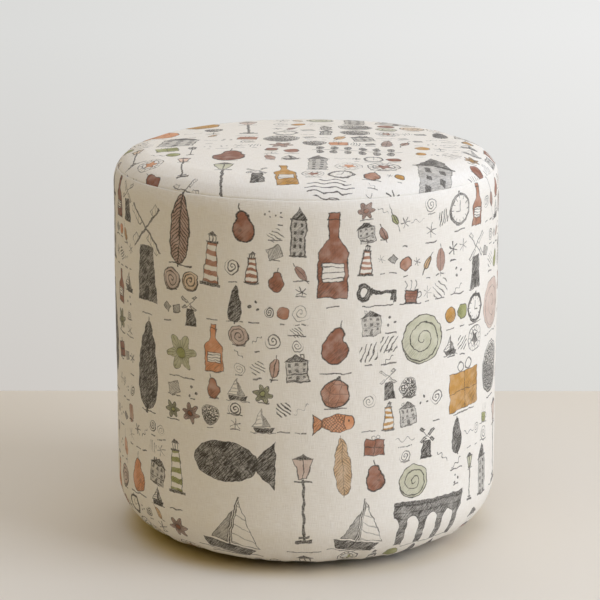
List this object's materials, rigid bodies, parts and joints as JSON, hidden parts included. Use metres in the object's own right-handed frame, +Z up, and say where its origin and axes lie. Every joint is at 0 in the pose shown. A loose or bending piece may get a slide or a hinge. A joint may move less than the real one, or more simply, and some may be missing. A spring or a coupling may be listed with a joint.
{
  "type": "tuffet",
  "caption": "Round upholstered footstool: a padded drum with a softly crowned top, a sewn printed cloth cover stapled under the base, and low glides.",
  "frame": {"origin": "on the floor, under the centre of the drum", "axes": "+Z up along the drum's axis, -Y towards the pictured side, +X to the right of it"},
  "size_m": [0.4, 0.4, 0.41],
  "materials": {
    "cover_cloth": "matt printed cotton-linen",
    "dust_cloth": "matt black non-woven",
    "foam": "open-cell upholstery foam",
    "wadding": "soft polyester wadding",
    "plywood": "raw birch plywood",
    "pine": "planed pine",
    "hardboard": "smooth brown hardboard",
    "nylon": "black nylon",
    "steel": "zinc-plated steel"
  },
  "bodies": {
    "root": {"base_board": "plywood", "seat_board": "plywood", "frame_shell": "hardboard", "post_1": "pine", "post_2": "pine", "post_3": "pine", "post_4": "pine", "base_screw_1": "steel", "base_screw_2": "steel", "base_screw_3": "steel", "base_screw_4": "steel", "seat_screw_1": "steel", "seat_screw_2": "steel", "seat_screw_3": "steel", "seat_screw_4": "steel", "side_foam": "foam", "seat_foam": "foam", "side_wadding": "wadding", "top_wadding": "wadding", "cover_top": "cover_cloth", "cover_front": "cover_cloth", "cover_rear": "cover_cloth", "dust_cover": "dust_cloth", "staple_1": "steel", "staple_2": "steel", "staple_3": "steel", "staple_4": "steel", "staple_5": "steel", "staple_6": "steel", "staple_7": "steel", "staple_8": "steel", "staple_9": "steel", "staple_10": "steel", "staple_11": "steel", "staple_12": "steel", "staple_13": "steel", "staple_14": "steel", "staple_15": "steel", "staple_16": "steel", "glide_1": "nylon", "glide_2": "nylon", "glide_3": "nylon", "glide_4": "nylon", "glide_screw_1": "steel", "glide_screw_2": "steel", "glide_screw_3": "steel", "glide_screw_4": "steel"}
  },
  "joints": []
}
